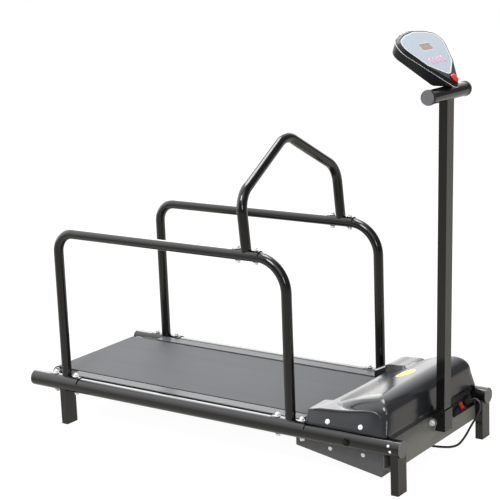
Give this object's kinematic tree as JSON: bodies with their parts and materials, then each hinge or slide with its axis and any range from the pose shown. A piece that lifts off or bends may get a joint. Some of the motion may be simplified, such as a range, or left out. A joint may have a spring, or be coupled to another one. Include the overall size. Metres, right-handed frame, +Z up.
{
  "type": "dog treadmill",
  "caption": "Dog treadmill: belt deck on a black tube frame with looped side rails and a gabled arch, a moulded motor hood and a tilted console on a mast.",
  "frame": {"origin": "on the floor under the middle of the machine's box", "axes": "+X towards the motor end, +Y to the machine's left side, +Z up"},
  "size_m": [1.4502, 0.6024, 1.2846],
  "materials": {
    "black_paint": "gloss black powder coat",
    "grey_paint": "satin grey paint",
    "grey_plastic": "moulded, satin",
    "black_plastic": "moulded, satin",
    "black_steel": "blackened",
    "zinc": "bright zinc plate",
    "deck_wood": "phenolic faced board",
    "belt_rubber": "grained belting",
    "strip_plastic": "ribbed, satin",
    "roller_steel": "turned",
    "motor_iron": "painted casting",
    "black_rubber": "smooth",
    "controller_aluminium": "extruded",
    "hood_plastic": "glossy charcoal moulding",
    "red_plastic": "moulded, gloss",
    "console_plastic": "moulded, gloss",
    "silver_plastic": "printed film, satin",
    "display_plastic": "smoked window",
    "board_green": "solder mask",
    "button_plastic": "membrane key"
  },
  "bodies": {
    "frame": {"right_side_tube": "black_paint", "left_side_tube": "black_paint", "tube_end_plugs": "grey_plastic", "front_legs": "black_paint", "rear_legs": "black_paint", "leg_feet": "black_plastic", "front_beam": "grey_paint", "cross_members": "black_paint", "motor_beam": "black_paint", "motor_beam_bolts": "black_steel", "deck_board": "deck_wood", "running_belt": "belt_rubber", "foot_strips": "strip_plastic", "front_roller_shaft": "roller_steel", "rear_roller_shaft": "roller_steel", "roller_brackets": "black_paint", "tension_bolts": "zinc", "motor_body": "motor_iron", "motor_bracket": "black_paint", "drive_belt": "black_rubber", "motor_controller": "controller_aluminium", "motor_hood": "hood_plastic", "belly_pan": "grey_plastic", "cover_straps": "black_paint", "cover_screws": "zinc", "switch_plate": "black_paint", "switch_frame": "black_plastic", "cord_gland": "black_rubber", "power_cord": "black_rubber", "cord_coil": "black_rubber", "mains_plug": "black_rubber", "right_rail": "black_paint", "left_rail": "black_paint", "rail_saddles": "black_paint", "rail_bolts": "zinc", "arch_tube": "black_paint", "arch_saddles": "black_paint", "arch_bolts": "zinc", "mast": "black_paint", "mast_bracket": "black_paint", "mast_bolts": "zinc", "t_bar": "black_paint", "t_bar_caps": "grey_plastic", "console_base": "console_plastic", "console_bezel": "console_plastic", "face_plate": "silver_plastic", "display_window": "display_plastic", "console_board": "board_green"},
    "front_roller": {"front_roller": "roller_steel", "front_roller_bearings": "roller_steel"},
    "rear_roller": {"rear_roller": "roller_steel", "rear_roller_bearings": "roller_steel"},
    "rotor": {"motor_pulley": "roller_steel", "flywheel": "motor_iron"},
    "rocker": {"rocker_switch": "red_plastic"},
    "key": {"safety_key": "red_plastic"},
    "key_pad_1": {"button_1": "button_plastic"},
    "key_pad_2": {"button_2": "button_plastic"},
    "key_pad_3": {"button_3": "button_plastic"},
    "key_pad_4": {"button_4": "button_plastic"}
  },
  "joints": [
    {"name": "front_roller_spin", "type": "hinge", "parent": "frame", "child": "front_roller", "pos_m": [0.37795, 0, 0.1349], "axis": [0, 1, 0], "continuous": true},
    {"name": "rear_roller_spin", "type": "hinge", "parent": "frame", "child": "rear_roller", "pos_m": [-0.68405, 0, 0.1349], "axis": [0, 1, 0], "continuous": true},
    {"name": "rotor_spin", "type": "hinge", "parent": "frame", "child": "rotor", "pos_m": [0.56795, 0, 0.137], "axis": [0, 1, 0], "continuous": true},
    {"name": "rocker_tilt", "type": "hinge", "parent": "frame", "child": "rocker", "pos_m": [0.63707, 0.162, 0.12883], "axis": [0, 1, 0], "range_deg": [-8, 8]},
    {"name": "button_1_press", "type": "slide", "parent": "frame", "child": "key_pad_1", "axis": [-0.7071, 0, -0.7071], "range_m": [0, 0.0008], "stiffness_N_per_m": 300, "springref_m": -0.002},
    {"name": "button_2_press", "type": "slide", "parent": "frame", "child": "key_pad_2", "axis": [-0.7071, 0, -0.7071], "range_m": [0, 0.0008], "stiffness_N_per_m": 300, "springref_m": -0.002},
    {"name": "button_3_press", "type": "slide", "parent": "frame", "child": "key_pad_3", "axis": [-0.7071, 0, -0.7071], "range_m": [0, 0.0008], "stiffness_N_per_m": 300, "springref_m": -0.002},
    {"name": "button_4_press", "type": "slide", "parent": "frame", "child": "key_pad_4", "axis": [-0.7071, 0, -0.7071], "range_m": [0, 0.0008], "stiffness_N_per_m": 300, "springref_m": -0.002},
    {"name": "key_pull", "type": "slide", "parent": "frame", "child": "key", "axis": [0.7071, 0, 0.7071], "range_m": [0, 0.02]}
  ],
  "couplings": [
    {"joint": "rear_roller_spin", "follows": "front_roller_spin", "ratio": 1},
    {"joint": "rotor_spin", "follows": "front_roller_spin", "ratio": 2.25}
  ]
}
